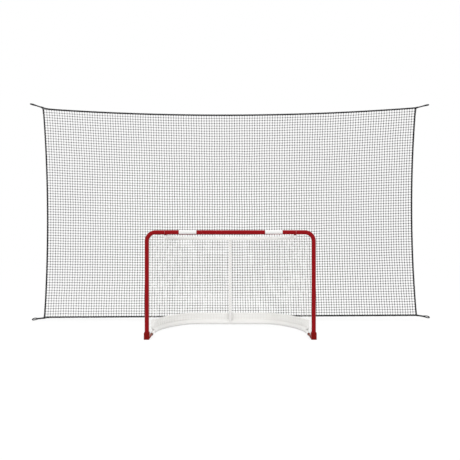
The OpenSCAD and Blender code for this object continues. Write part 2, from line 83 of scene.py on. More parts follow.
# %% Sizes that drive the soft pieces
bar_low, bar_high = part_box("crossbar")
goal_y = (bar_low[1] + bar_high[1]) / 2
pipe_r = (bar_high[2] - bar_low[2]) / 2
bar_z = (bar_high[2] + bar_low[2]) / 2
stop_y = goal_y + 1.2
print("goal line at y", round(goal_y, 4), "red pipe radius", round(pipe_r, 5))

# %% [markdown]
# ## The camera
# The camera stands six metres in front of the goal line, a little above the crossbar, and
# looks level into the goal. A level camera keeps the posts upright without any lens shift.

# %% Camera
camera_data = bpy.data.cameras.new("camera")
camera_data.sensor_width = 36.0
camera_data.lens = 41.74
camera_data.clip_end = 200.0
camera = bpy.data.objects.new("camera", camera_data)
camera.location = (-0.003, goal_y - 6.0, 1.2297)
camera.rotation_euler = (math.radians(90), 0.0, 0.0)
bpy.context.scene.collection.objects.link(camera)
bpy.context.scene.camera = camera
print("camera at", tuple(round(v, 3) for v in camera.location))

# %% [markdown]
# ## Tubes along a path
# Twine, rope and cord are all the same form: a section carried along a path. Blender's curve
# bevel makes a plain one, but laid rope needs a section that turns as it goes, and a net
# needs thousands of them in one mesh. So the rings are worked out with numpy and joined by
# quads. The section is a radius for each angle, and a closed flat cap ends each tube.

# %% Ring helpers
BACK, UP = np.array([0.0, 1.0, 0.0]), np.array([0.0, 0.0, 1.0])


def unit(vectors):
    return vectors / np.linalg.norm(vectors, axis=-1)[..., None]


def tangents(points):
    return unit(np.gradient(points, axis=0))


def arc_lengths(points):
    steps = np.linalg.norm(np.diff(points, axis=0), axis=1)
    return np.concatenate([[0.0], np.cumsum(steps)])


def across_path(along, facing):
    """Two directions that are square to a path and to each other."""
    side = unit(np.cross(along, facing))
    return side, np.cross(side, along)


def ring_angles(sides):
    return 2 * math.pi * np.arange(sides) / sides


def tube_quads(rings, sides):
    ring = np.arange(rings - 1)[:, None] * sides
    k = np.arange(sides)[None, :]
    following = (k + 1) % sides
    walls = np.stack([ring + k, ring + following, ring + sides + following, ring + sides + k], -1)
    last = (rings - 1) * sides
    caps = []
    for i in range(1, sides // 2):
        caps.append([0, 2 * i + 1, 2 * i, 2 * i - 1])
        caps.append([last, last + 2 * i - 1, last + 2 * i, last + 2 * i + 1])
    return np.concatenate([walls.reshape(-1, 4), np.array(caps)])


def tube_rings(points, section, sides, facing, turns=None):
    """Rings of points round a path. The section is one radius, a radius for each ring, or a
    function that gives the radius for each angle and turns with the path."""
    side, up = across_path(tangents(points), facing)
    angle = ring_angles(sides)
    if callable(section):
        radius = section(angle[None, :] - turns[:, None])
    else:
        radius = np.broadcast_to(section, (len(points), sides))
    x = (radius * np.cos(angle))[:, :, None]
    y = (radius * np.sin(angle))[:, :, None]
    return points[:, None, :] + x * side[:, None, :] + y * up[:, None, :]


# %% Mesh helpers
def quad_object(name, points, quads, uv, smooth=True):
    mesh = bpy.data.meshes.new(name)
    mesh.vertices.add(len(points))
    mesh.vertices.foreach_set("co", np.ascontiguousarray(points, dtype=np.float32).ravel())
    mesh.loops.add(quads.size)
    mesh.loops.foreach_set("vertex_index", quads.astype(np.int32).ravel())
    mesh.polygons.add(len(quads))
    mesh.polygons.foreach_set("loop_start", np.arange(0, quads.size, 4, dtype=np.int32))
    mesh.update(calc_edges=True)
    mesh.polygons.foreach_set("use_smooth", np.full(len(quads), smooth))
    layer = mesh.uv_layers.new(name="OFBake")
    layer.data.foreach_set("uv", np.ascontiguousarray(uv[quads.ravel()], np.float32).ravel())
    mesh.validate()
    piece = bpy.data.objects.new(name, mesh)
    bpy.context.scene.collection.objects.link(piece)
    return piece


def joined_tubes(rings):
    """Points and quads of many tubes at once; rings go by tube, then along it, then round it."""
    tubes, count, sides = rings.shape[:3]
    shift = np.arange(tubes)[:, None, None] * count * sides
    return rings.reshape(-1, 3), (tube_quads(count, sides) + shift).reshape(-1, 4)


def tube_uv(along, sides, width):
    strip = np.tile(np.arange(sides) / sides, len(along)) * width
    return np.stack([np.repeat(along, sides), strip], 1)


def tube_object(name, rings, along, width=0.02, smooth=True):
    """A capped tube from its rings; along is where each ring lies, from 0 to 1."""
    uv = tube_uv(along, rings.shape[1], width)
    return quad_object(name, *joined_tubes(rings[None]), uv, smooth)


def round_cord(name, path, diameter, sides=8, facing=None):
    if facing is None:
        facing = unit(np.cross(tangents(path), [0.31, 0.17, 0.93]))
    run = arc_lengths(path)
    return tube_object(name, tube_rings(path, diameter / 2, sides, facing), run / run[-1])


# %% [markdown]
# ## Laid rope
# Rope of this kind is three strands laid round each other. Seen end on it is three circles
# that touch, and that outline can be written as one radius for each angle, so a single tube
# whose section turns once per lay has the real grooves. Rope is sold by a size that lies
# between its ridges and its grooves, so the ridges stand a little outside that size.

# %% Laid rope
STRANDS = 3
LAY_PER_DIAMETER = 3.4
ROPE_SWELL = 0.61
ROPE_SIDES = 12


def laid_section(radius):
    strand = radius / (1 + 2 / math.sqrt(3))
    centre = strand * 2 / math.sqrt(3)

    def section(angle):
        third = 2 * math.pi / STRANDS
        off = (angle + third / 2) % third - third / 2
        return centre * np.cos(off) + np.sqrt(np.maximum(strand**2 - (centre * np.sin(off))**2, 0))

    return section


def laid_rope(name, points, diameter):
    length = arc_lengths(points)
    turns = length * 2 * math.pi / (diameter * LAY_PER_DIAMETER)
    rings = tube_rings(points, laid_section(diameter * ROPE_SWELL), ROPE_SIDES, BACK, turns)
    return tube_object(name, rings, length / length[-1])


# %% [markdown]
# ## The four tie loops
# Each corner of the backstop is tied up by a loop of cord: two strands that run out of the
# whipping side by side and open into a small eye. It is one cord bent back on itself and held
# taut, so the path goes out, round the eye and back, and no bend is tighter than two cord
# diameters. The lay of the rope turns each loop about its own length, so that it is seen almost
# edge on and looks closed.

# %% Tie loops
CORNERS = {
    "top_left": (-2.532, 2.881), "top_right": (2.507, 2.879),
    "bottom_left": (-2.512, 0.042), "bottom_right": (2.514, 0.079),
}
# How far each loop reaches, and the angle at which it is pulled upwards
LOOPS = {
    "top_left": (0.178, 17.6), "top_right": (0.181, 14.0),
    "bottom_left": (0.166, -6.5), "bottom_right": (0.181, -8.5),
}
loop_d = 0.013
loop_start = 0.028
strand_gap = loop_d * ROPE_SWELL + 0.0003
eye_r = 0.026
loop_flare = 0.45
loop_turn = math.radians(72)


def pulled_out(corner, along, across):
    """Points in the upright plane of the net, along and across a corner's line of pull."""
    x, z = CORNERS[corner]
    rise = math.radians(LOOPS[corner][1])
    c, s = math.cos(rise), math.sin(rise)
    return x + math.copysign(1, x) * (along * c - across * s), z + along * s + across * c


def loop_path(corner):
    tip = LOOPS[corner][0] - eye_r - loop_d / 2
    t = np.linspace(0, 1, 11)
    k = np.maximum(0, (t - loop_flare) / (1 - loop_flare))
    out = np.stack([loop_start + (tip - loop_start) * t,
                    strand_gap + (eye_r - strand_gap) * k * k * (3 - 2 * k)], 1)
    turn = np.radians(np.arange(75, -76, -15))
    eye = np.stack([tip + eye_r * np.cos(turn), eye_r * np.sin(turn)], 1)
    plan = np.concatenate([out, eye, out[::-1] * [1, -1]])
    x, z = pulled_out(corner, plan[:, 0], plan[:, 1] * math.cos(loop_turn))
    return np.stack([x, stop_y + plan[:, 1] * math.sin(loop_turn), z], 1)


def resampled(points, step):
    length = arc_lengths(points)
    at = np.linspace(0, length[-1], int(length[-1] / step) + 1)
    return np.stack([np.interp(at, length, points[:, i]) for i in range(3)], 1)


for corner in CORNERS:
    path = resampled(loop_path(corner), 0.002)
    piece = laid_rope(corner + "_loop_cord", path, loop_d)
    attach(piece, "backstop")
    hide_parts(corner + "_loop")
    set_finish(piece, "black_rope")

# %% [markdown]
# ## The backstop's edges
# The netting hangs inside four ropes. The top rope sags and the side ropes bow in, because
# the net pulls on them, and each leaves the netting near its ends to reach the corner. Every
# edge is one formula, so ropes, netting and lashing all follow the same lines. A net that is
# tied up by hand never hangs quite square, so each corner and each end has its own height.

# %% Edges of the backstop
pull_reach, pull_share = 0.045, 0.08
rope_d = 0.0145
# Where each edge of the netting starts and ends, and how far it sags or bows between
NET_EDGES = {
    "top": (2.8644, 2.8786, -0.0913), "low": (0.0511, 0.0791, 0.0),
    "left": (-2.5061, -2.5233, 0.0488), "right": (2.5126, 2.5005, -0.0579),
}


def arch(t):
    return 4 * t * (1 - t)


def between(first, last, t):
    return first + (last - first) * t


def net_edge(side, t):
    first, last, bow = NET_EDGES[side]
    return between(first, last, t) + bow * arch(t)


def to_corners(side, t, first, last, length):
    """An edge of the netting that is drawn out to a corner at each end."""
    start = (first - net_edge(side, 0.0)) * np.exp(-t * length / pull_reach)
    end = (last - net_edge(side, 1.0)) * np.exp((t - 1) * length / pull_reach)
    return net_edge(side, t) + start + end


def rope_line(side, first, last):
    near, far = pull_share, 1 - pull_share
    t = np.concatenate([np.linspace(0, near, 200), np.linspace(near, far, 900)[1:-1],
                        np.linspace(far, 1, 200)])
    (x0, z0), (x1, z1) = CORNERS[first], CORNERS[last]
    if side in ("left", "right"):
        x, z = to_corners(side, t, x0, x1, z1 - z0), between(z0, z1, t)
    else:
        x, z = between(x0, x1, t), to_corners(side, t, z0, z1, x1 - x0)
    return np.stack([x, np.full(len(t), stop_y), z], 1)


EDGES = {
    "top_rope": rope_line("top", "top_left", "top_right"),
    "bottom_rope": rope_line("low", "bottom_left", "bottom_right"),
    "left_rope": rope_line("left", "bottom_left", "top_left"),
    "right_rope": rope_line("right", "bottom_right", "top_right"),
}
for node, edge in EDGES.items():
    print(node, "runs", round(float(arc_lengths(edge)[-1]), 3), "m")

# %% [markdown]
# ## Border ropes and their lashing
# The border is the same laid rope as before, only thicker. The netting is lashed to it by a
# twine that goes three times round the rope for every mesh.

# %% Border ropes
ROPE_STEP = 0.0042
lash_d = 0.0034
stop_mesh = 0.034


def wound(base, radius, pitch, facing, steps):
    """A path that winds round another, one turn for each pitch, and its way out from it."""
    path = resampled(base, pitch / steps)
    side, up = across_path(tangents(path), facing)
    turn = 2 * math.pi * arc_lengths(path) / pitch
    outward = np.cos(turn)[:, None] * side + np.sin(turn)[:, None] * up
    return path + radius * outward, outward


for node, edge in EDGES.items():
    rope = laid_rope(node + "_laid", resampled(edge, ROPE_STEP), rope_d)
    path, outward = wound(edge, rope_d * ROPE_SWELL + lash_d / 2, stop_mesh / 3, BACK, 10)
    lash = round_cord(node + "_lashing", path, lash_d, 6, outward)
    for piece in (rope, lash):
        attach(piece, "backstop")
        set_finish(piece, "black_rope" if piece is rope else "black_twine")
    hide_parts(node)
    print(node, len(rope.data.polygons), "faces, lashing", len(lash.data.polygons))

# %% [markdown]
# ## Whippings at the corners
# Where two ropes and a loop meet they are bound by close turns of twine. A whipping is wound
# from one twine, so it is a helix over a filled core, with its turns just touching.

# %% Whippings
knot_from, knot_to = -0.014, 0.028
whip_d = 0.0028
whip_r = 0.012 - whip_d / 2
whip_steps, whip_taper = 18, 0.0022
core_in, core_thinner, core_taper = 0.001, 0.0006, 0.25
shoulder = 6


def whipping(corner):
    turns = (knot_to - knot_from - whip_d) / (whip_d * 1.02)
    t = np.linspace(0, 1, int(turns * whip_steps))
    reach = knot_from + whip_d / 2 + t * (knot_to - knot_from - whip_d)
    swell = whip_r - whip_taper * np.abs(2 * t - 1)**shoulder
    a = 2 * math.pi * turns * t
    x, z = pulled_out(corner, reach, swell * np.cos(a))
    path = np.stack([x, stop_y + swell * np.sin(a), z], 1)
    far_x, far_z = pulled_out(corner, 1.0, 0.0)
    axis = np.array([far_x - CORNERS[corner][0], 0.0, far_z - CORNERS[corner][1]])
    return tube_object(corner + "_knot_whipping", tube_rings(path, whip_d / 2, 6, axis), t)


def whipping_core(corner):
    t = np.linspace(0, 1, 12)
    x, z = pulled_out(corner, knot_from + core_in + t * (knot_to - knot_from - 2 * core_in), 0.0)
    path = np.stack([x, np.full(12, stop_y), z], 1)
    wide = (whip_r - core_thinner) * (1 - core_taper * np.abs(2 * t - 1)**shoulder)
    return tube_object(corner + "_knot_core", tube_rings(path, wide[:, None], 16, BACK), t, 0.3)


for corner in CORNERS:
    turns, core = whipping(corner), whipping_core(corner)
    for piece in (turns, core):
        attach(piece, "backstop")
        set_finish(piece, "black_rope")
    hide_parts(corner + "_knot")
    print(corner, "whipping,", len(turns.data.polygons), "faces")

# %% [markdown]
# ## Knotted netting from a surface
# A net is a grid of twines with a knot at each crossing. Its shape is a surface, and the
# twines are lines on that surface, so one builder can make every net here: it is given a
# function that turns mesh numbers into points, and it lays one tube along each line. The
# tubes swell where they cross, which is the knot.

# %% Net builder
def surface_normal(surface, u, v):
    step = 0.02
    across = surface(u + step, v) - surface(u - step, v)
    up = surface(u, v + step) - surface(u, v - step)
    return unit(np.cross(across, up))


def twine_grid(surface, u, v, radius, sides):
    """Tubes along the rows of u and v; every row is one twine."""
    spread = 0.08
    points = surface(u, v)
    side, up = across_path(unit(np.gradient(points, axis=1)), surface_normal(surface, u, v))
    angle = ring_angles(sides) + math.radians(15)
    x = radius[..., None, None] * np.cos(angle)[:, None]
    y = radius[..., None, None] * np.sin(angle)[:, None]
    rings = points[:, :, None, :] + x * side[:, :, None, :] + y * up[:, :, None, :]
    uv = np.stack([u[..., None] + spread * np.cos(angle),
                   v[..., None] + spread * np.sin(angle)], -1)
    return *joined_tubes(rings), uv.reshape(-1, 2)


def marked(first, last, marks):
    """Places along one twine: some at set shares of every mesh, and one at its end."""
    base = np.arange(first, last)[:, None] + np.array(marks)[None, :]
    return np.append(base.ravel(), last)


def knotted_net(name, surface, cols, rows, twine, knot, sides, stops):
    """A net between two of the surface's columns. A piece that doesn't start at column 0 leaves
    its first upright to the piece next door. Uprights carry the knots."""
    first, last = cols
    uprights = np.arange(first + (first > 0), last + 1, dtype=float)[:, None]
    levels = np.arange(rows + 1, dtype=float)[:, None]
    at = marked(0, rows, stops[0])[None, :]
    fat = np.append(np.tile([knot] + [1.0] * (len(stops[0]) - 1), rows), knot) * twine / 2
    u, v, radius = np.broadcast_arrays(uprights, at, fat[None, :])
    p1, q1, t1 = twine_grid(surface, u, v, radius, sides)
    u, v = np.broadcast_arrays(marked(first, last, stops[1])[None, :], levels)
    p2, q2, t2 = twine_grid(surface, u, v, np.full(u.shape, twine / 2), sides)
    uv = np.concatenate([t1, t2])
    low, high = uv.min(0), uv.max(0)
    uv = 0.01 + 0.98 * (uv - low) / (high - low)
    piece = quad_object(name, np.concatenate([p1, p2]), np.concatenate([q1, q2 + len(p1)]), uv)
    print(name, "has", last - first + 1, "by", rows + 1, "twines,", 2 * len(piece.data.polygons),
          "triangles")
    return piece


# %% Noise for hand-made nets
def smooth_noise(shape, seed, passes):
    values = np.random.default_rng(seed).normal(size=shape)
    for _ in range(passes):
        for axis in (0, 1):
            values = (values + np.roll(values, 1, axis) + np.roll(values, -1, axis)) / 3
    return values / np.abs(values).max()


def looked_up(grid, u, v):
    """A grid of values read between its points."""
    u = np.clip(u, 0, grid.shape[0] - 1.001)
    v = np.clip(v, 0, grid.shape[1] - 1.001)
    i, j = u.astype(int), v.astype(int)
    a, b = (u - i), (v - j)
    return ((grid[i, j] * (1 - a) + grid[i + 1, j] * a) * (1 - b)
            + (grid[i, j + 1] * (1 - a) + grid[i + 1, j + 1] * a) * b)


# %% [markdown]
# ## The backstop netting
# Square black meshes of about 34 mm fill the rope border. The lines follow the sagging top
# rope near the top and run level at the bottom, and no mesh is quite the same as the next.

# %% Backstop netting
STOP_COLS = 146
STOP_ROWS = 79
stop_twine = 0.0048
stop_edge = rope_d * ROPE_SWELL + 0.0008
stop_grid = (STOP_COLS + 1, STOP_ROWS + 1)
drift_x, drift_z = [0.0035 * smooth_noise(stop_grid, seed, 5) for seed in (11, 12)]
nudge_x, nudge_z = [0.0012 * smooth_noise(stop_grid, seed, 0) for seed in (13, 14)]
billow = 0.012 * smooth_noise(stop_grid, 15, 40)


def ramp(value, length=1.0):
    """0 where the value is below 0, and rising to 1 over a length."""
    return np.clip(value / length, 0, 1)


def stop_surface(u, v):
    s, t = u / STOP_COLS, v / STOP_ROWS
    x = between(net_edge("left", t) + stop_edge, net_edge("right", t) - stop_edge, s)
    z = between(net_edge("low", s) + stop_edge, net_edge("top", s) - stop_edge, t)
    inside = np.minimum(1, 12 * np.minimum(arch(ramp(s)), arch(ramp(t))))
    x = x + inside * (looked_up(drift_x, u, v) + looked_up(nudge_x, u, v))
    z = z + inside * (looked_up(drift_z, u, v) + looked_up(nudge_z, u, v))
    return np.stack([x, stop_y + inside * looked_up(billow, u, v), z], -1)


for part, cols in (("left", (0, 49)), ("middle", (49, 97)), ("right", (97, STOP_COLS))):
    piece = knotted_net("backstop_net_" + part, stop_surface, cols, STOP_ROWS, stop_twine, 3.0, 4,
                        ([0, 0.25, 0.75], [0]))
    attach(piece, "backstop")
    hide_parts("backstop_netting")
    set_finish(piece, "black_twine")

# %% [markdown]
# ## The plan of the goal's pipes
# The base and the top pipe have the same kind of plan: a straight leg, a wide bend, a tight
# bend and a straight rear. Reading both at the same share of each part gives the pairs of
# points that a twine of the netting runs between.

# %% Plan of the base and top pipes
# Half width, depth, radius of the wide bend and of the tight one
BASE = (0.914, 0.976, 0.800, 0.250)
TOP = (0.72805, 0.550, 0.420, 0.230)
base_r, top_r = 0.01905, 0.01745
top_front_z, top_drop = 1.15455, 0.027
wall_out = 0.02
leg_front = 0.036
TURN = math.atan2(4, 3)


def bend_start(plan):
    return plan[1] - plan[2] * math.sin(TURN) - plan[3] * (1 - math.sin(TURN))


def tight_centre(plan):
    reach = plan[2] - plan[3]
    return (plan[0] - plan[2] + reach * math.cos(TURN), bend_start(plan) + reach * math.sin(TURN))


def plan_point(plan, out, s, front):
    """s runs 0..1 along the leg, 1..2 wide bend, 2..3 tight bend, 3..4 rear, and on to 8."""
    mirrored = s > 4
    t = np.where(mirrored, 8 - s, s)
    start = bend_start(plan)
    cx, cy = tight_centre(plan)
    heading = np.where(t < 2, ramp(t - 1) * TURN, TURN + ramp(t - 2) * (math.pi / 2 - TURN))
    wide = t < 2
    ox = np.where(wide, plan[0] - plan[2], cx)
    oy = np.where(wide, start, cy)
    r = np.where(wide, plan[2], plan[3]) + out
    x = ox + r * np.cos(heading)
    y = oy + r * np.sin(heading)
    leg = t < 1
    x = np.where(leg, plan[0] + out, x)
    y = np.where(leg, front + (start - front) * t, y)
    rear = t > 3
    x = np.where(rear, cx * (4 - t), x)
    y = np.where(rear, plan[1] + out, y)
    return np.where(mirrored, -x, x), y


def run_along(plan, out, s):
    x, y = plan_point(plan, out, s, leg_front)
    return np.concatenate([[0], np.cumsum(np.hypot(np.diff(x), np.diff(y)))])


def evenly(s, run, count):
    return np.interp(np.linspace(0, run[-1], count + 1), run, s)


def even_stations(count):
    """Values of s that are evenly spaced along the middle of the wall."""
    s = np.linspace(0, 8, 4001)
    run = run_along(BASE, wall_out, s) / 2 + run_along(TOP, wall_out, s) / 2
    return evenly(s, run, count), run[-1]


goal_mesh = 0.036
wall_run = even_stations(2)[1]
WALL_COLS = 2 * round(wall_run / goal_mesh / 2)
WALL_ROWS = 33
stations = even_stations(WALL_COLS)[0]
print("netting runs", round(wall_run, 3), "m round the goal in", WALL_COLS, "meshes")

# %% [markdown]
# ## The goal netting
# One wall of netting goes round from post to post. Its lower edge follows the base pipe and
# its upper edge the top pipe, and at each end it climbs the back of the post and follows the
# corner bend to the crossbar. Between those edges it is a ruled surface that is eased towards
# the post. Real netting is cut with a little to spare, so it hangs in a few gathers, where
# meshes close up: each gather here is a line on the wall that draws the twines in.

# %% Shape of the wall netting
post_x = 0.93865
corner_r = 0.100
net_out, lace_out = 0.0211, 0.0145
seam_z = 0.058
front_z = 0.030
lace_back = pipe_r + 0.0028
staple_out, staple_drop = 0.0095, 0.014
hook_z, hook_reach = bar_z - 0.020, 0.035
lace_rise = 0.0135
boot_top, boot_ease = 0.13, 0.04
skirt_from, skirt_ease = 0.36, 0.05
# The wall leans in as it rises to the seam, and is eased towards the post up to a station
seam_lean, seam_in, side_reach, rear_reach = 0.30, 0.02, 0.5, 0.9
stub_gap = 0.0125
post_reach, post_curve, post_until = 0.50, 1.7, 1.9
# The wall is held at the skirt and at the posts, and hangs loose between them
held_z, held_ease, post_ease, head_taper = 0.19, 0.25, 0.12, 5
hang_out, hang_vary, gather_out = 0.010, 0.006, 0.008
rear_start, rear_ease = 0.15, 0.15
slack_from_y, straight_half = 0.25, 0.40
gather_foot, gather_head, sag_end = 0.12, 0.06, 0.1


def post_line(v):
    """Up the back of the right post, round the corner bend and along the crossbar."""
    upright = bar_z - corner_r - front_z
    stub = post_x - corner_r - (TOP[0] + stub_gap)
    total = upright + corner_r * math.pi / 2 + stub
    d = v * total
    a = np.clip((d - upright) / corner_r, 0, math.pi / 2)
    run = np.clip(d - upright - corner_r * math.pi / 2, 0, None)
    x = post_x - corner_r * (1 - np.cos(a)) - run
    z = front_z + np.minimum(d, upright) + corner_r * np.sin(a) - staple_drop * np.sin(a)
    y = lace_back + staple_out * ramp(boot_top - z, boot_ease)
    return x, y, z


def wall_edges(s):
    bx, by = plan_point(BASE, net_out, s, lace_back + staple_out)
    tx, ty = plan_point(TOP, lace_out, s, lace_back)
    skirted = ramp(by - skirt_from, skirt_ease)
    bz = front_z + (seam_z - front_z) * skirted
    out = np.clip((bz - base_r) * seam_lean, 0, seam_in)
    bx = bx - np.sign(bx) * out * ramp(np.abs(bx), side_reach)
    by = by - out * ramp(by, rear_reach)
    tz = top_front_z + lace_rise - top_drop * ty / TOP[1]
    tz = tz + (hook_z - top_front_z - lace_rise) * np.exp(-(ty - lace_back) / hook_reach)
    return (bx, by, bz), (tx, ty, tz)


# %% Gathers and slack
# Upright gathers: x of the line, lowest and highest height, width, pull
GATHERS = [
    (-0.278, 0.30, 1.09, 0.045, 0.62), (0.243, 0.20, 1.05, 0.045, 0.55),
    (-0.60, 0.62, 1.02, 0.05, 0.40), (0.62, 0.55, 1.00, 0.06, 0.42),
    (-0.06, 0.60, 1.08, 0.035, 0.3), (0.47, 0.72, 1.08, 0.04, 0.35),
    (-0.44, 0.50, 1.00, 0.035, 0.3),
]
# Level gathers: lowest and highest x, height, width, pull
SAGS = [(-0.42, -0.02, 0.985, 0.04, 0.6), (-0.86, -0.5, 0.955, 0.05, 0.5),
        (0.24, 0.50, 1.02, 0.04, 0.45), (0.55, 0.86, 0.93, 0.05, 0.4), (0.5, 0.8, 0.46, 0.05, 0.4)]
wall_grid = (WALL_COLS + 1, WALL_ROWS + 1)
wall_dx, wall_dz = [0.0022 * smooth_noise(wall_grid, seed, 0) for seed in (21, 22)]
wall_slack = smooth_noise(wall_grid, 23, 10)


def wall_surface(u, v):
    s = np.interp(u, np.arange(WALL_COLS + 1), stations)
    t = v / WALL_ROWS
    side = np.where(s > 4, -1.0, 1.0)
    x, y, z = [between(a, b, t) for a, b in zip(*wall_edges(s))]
    ends = [between(a, b, t) for a, b in zip(*wall_edges(np.zeros(1)))]
    fx, fy, fz = post_line(t)
    near = ramp(1 - (y - lace_back) / post_reach)**post_curve
    near = near * (np.minimum(s, 8 - s) < post_until)
    x = x + side * near * (fx - ends[0])
    y = y + near * (fy - ends[1])
    z = z + near * (fz - ends[2])
    loose = ramp(z - held_z, held_ease) * ramp((1 - t) * head_taper)
    loose = loose * ramp(y - lace_back, post_ease)
    heading = np.arctan2(y - slack_from_y, np.abs(x) + 1e-6)
    heading = np.where(np.abs(x) < straight_half, math.pi / 2, heading)
    out = loose * (hang_out + hang_vary * looked_up(wall_slack, u, v))
    rear = ramp(y - rear_start, rear_ease)
    dx, dz = np.zeros_like(x), np.zeros_like(x)
    for line, low, high, width, pull_in in GATHERS:
        off = x - line
        bell = np.exp(-(off / width)**2)
        reach = ramp(z - low, gather_foot) * ramp(high - z, gather_head)
        dx = dx - rear * (pull_in * off * bell * reach)
        out = out + gather_out * loose * bell
    for x_low, x_high, level, width, pull_in in SAGS:
        within = ramp(x - x_low, sag_end) * ramp(x_high - x, sag_end)
        off = z - level
        dz = dz - rear * within * pull_in * off * np.exp(-(off / width)**2)
    x = x + loose * dx + side * out * np.cos(heading) + loose * looked_up(wall_dx, u, v)
    y = y + out * np.sin(heading)
    z = z + loose * dz + loose * looked_up(wall_dz, u, v)
    return np.stack([x, y + goal_y, z], -1)


# %% Wall netting, three pieces
goal_twine = 0.0024
goal_stops = ([0, 0.11, 0.5, 0.89], [0, 0.5])
rear_from = int(np.searchsorted(stations, 3.0))
rear_to = WALL_COLS - rear_from
for node, cols in (("right_netting", (0, rear_from)), ("back_netting", (rear_from, rear_to)),
                   ("left_netting", (rear_to, WALL_COLS))):
    piece = knotted_net(node + "_knotted", wall_surface, cols, WALL_ROWS, goal_twine, 1.8, 6,
                        goal_stops)
    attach(piece, "goal")
    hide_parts(node)
    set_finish(piece, "white_twine")

# %% [markdown]
# ## The roof netting
# The roof is the same netting, laid flat from the crossbar back over the top pipe. It hangs a
# little between its laced edges.

# %% Roof netting
ROOF_COLS = 40
ROOF_ROWS = 15
roof_lift, roof_sag = 0.0025, 0.044
roof_over, roof_spread, roof_belly = 0.004, 1.12, 0.8


def top_half_width(y):
    start = bend_start(TOP)
    cx, cy = tight_centre(TOP)
    wide = TOP[0] - TOP[2] + np.sqrt(np.maximum(TOP[2]**2 - np.clip(y - start, 0, TOP[2])**2, 0))
    tight = cx + np.sqrt(np.maximum(TOP[3]**2 - (y - cy)**2, 0))
    limit = start + TOP[2] * math.sin(TURN)
    return np.where(y <= start, TOP[0], np.where(y <= limit, wide, tight))


def roof_surface(u, v):
    s, t = u / ROOF_COLS, np.clip(v / ROOF_ROWS, -0.02, 1.02)
    y = lace_back + (TOP[1] - lace_back) * (1 - (1 - ramp(t))**roof_spread)
    x = (2 * s - 1) * (top_half_width(np.minimum(y, TOP[1] - 0.0002)) + roof_over)
    z = top_front_z + top_r + roof_lift - top_drop * y / TOP[1]
    z = z + (hook_z - top_front_z - top_r - roof_lift) * np.exp(-(y - lace_back) / hook_reach)
    z = z - roof_sag * np.sqrt(arch(ramp(s))) * arch(ramp(t))**roof_belly
    return np.stack([x, y + goal_y + (t - ramp(t)) * 0.5, z], -1)


roof = knotted_net("roof_netting_knotted", roof_surface, (0, ROOF_COLS), ROOF_ROWS, goal_twine,
                   1.8, 6, goal_stops)
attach(roof, "goal")
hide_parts("roof_netting")
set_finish(roof, "white_twine")

# %% [markdown]
# ## The cloth skirt
# A band of canvas goes round the bottom of the goal, outside the netting, and ends in a sewn
# pocket that the base pipe runs through. It is one sheet: down the outside from the hem to
# the seam, then round under the pipe and back up to the seam. A section is drawn once and
# carried round the plan of the base, in two layers a cloth's thickness apart.

# %% Skirt section
cloth_t = 0.0011
hem_z = 0.150
pocket_z = 0.061
pocket_r = 0.0206
skirt_out, skirt_start, skirt_step = 0.0252, 0.375, 0.016
settle_run, start_slack, ripple_out = 0.16, 0.010, 0.0012
lean_of = np.radians([9.9, 16.6, 21.05])


def lean_at(s):
    """How far the wall leans in at each station, in radians, and how loose the cloth stands."""
    t = min(s, 8 - s)
    y = float(plan_point(BASE, 0.0, np.array([t]), leg_front)[1][0])
    settled = min(1.0, (y - skirt_start) / settle_run)
    settled = settled * settled * (3 - 2 * settled)
    return float(np.interp(t, [0.9, 1.8, 3.0], lean_of)) * settled, start_slack * (1 - settled)


def skirt_section(lean, loose, radius):
    """Points from hem to seam, and round the pipe back to the seam, from the pipe's centre."""
    count_panel, count_flat, count_round = 9, 5, 22
    off = skirt_out / np.cos(lean) + loose
    seam = np.array([off - (pocket_z - base_r) * np.tan(lean), pocket_z - base_r])
    top = np.array([off - (hem_z - base_r) * np.tan(lean), hem_z - base_r])
    panel = top + (seam - top) * np.linspace(0, 1, count_panel)[:, None]
    distance = np.hypot(*seam)
    toward = math.atan2(seam[1], seam[0])
    spread = math.acos(radius / distance)
    turn = np.linspace(toward - spread, toward + spread - 2 * math.pi, count_round)
    circle = radius * np.stack([np.cos(turn), np.sin(turn)], 1)
    circle[:, 1] = np.maximum(circle[:, 1], -base_r - 0.0003)
    out = seam + (circle[0] - seam) * np.linspace(0, 1, count_flat)[1:-1, None]
    back = circle[-1] + (seam - circle[-1]) * np.linspace(0, 1, count_flat)[1:, None]
    return np.concatenate([panel, out, circle, back])


def skirt_stations():
    s = np.linspace(0, 8, 8001)
    s = s[plan_point(BASE, 0.0, s, leg_front)[1] >= skirt_start]
    run = run_along(BASE, 0.0, s)
    return evenly(s, run, int(run[-1] / skirt_step)), run[-1]


skirt_s, skirt_run = skirt_stations()
print("skirt runs", round(skirt_run, 3), "m in", len(skirt_s), "sections")

# %% Skirt points and faces
# The lower bracket swells the cloth, most of all at the section's points under the pipe
bracket_points, bracket_swell = [28, 30, 35, 37], 0.0036
bracket_half, bracket_reach = 0.020, 0.060


def skirt_points(offset):
    rows = []
    for s in skirt_s:
        x, _ = plan_point(BASE, 0.0, np.array([s]), leg_front)
        near = math.exp(-(abs(float(x[0])) / bracket_reach)**8)
        section = skirt_section(*lean_at(float(s)), pocket_r + bracket_swell * near)
        step = np.gradient(section, axis=0)
        normal = unit(np.stack([-step[:, 1], step[:, 0]], 1))
        under = np.interp(np.arange(len(section)), bracket_points, [0, 1, 1, 0])
        section = section + normal * (offset + bracket_swell * near * under)[:, None]
        px, py = plan_point(BASE, section[:, 0], np.full(len(section), s), leg_front)
        ripple = ripple_out * np.sin(9.0 * s) * ramp(section[:, 1], 0.1)
        rows.append(np.stack([px, py + goal_y + ripple, section[:, 1] + base_r], 1))
    return np.array(rows)


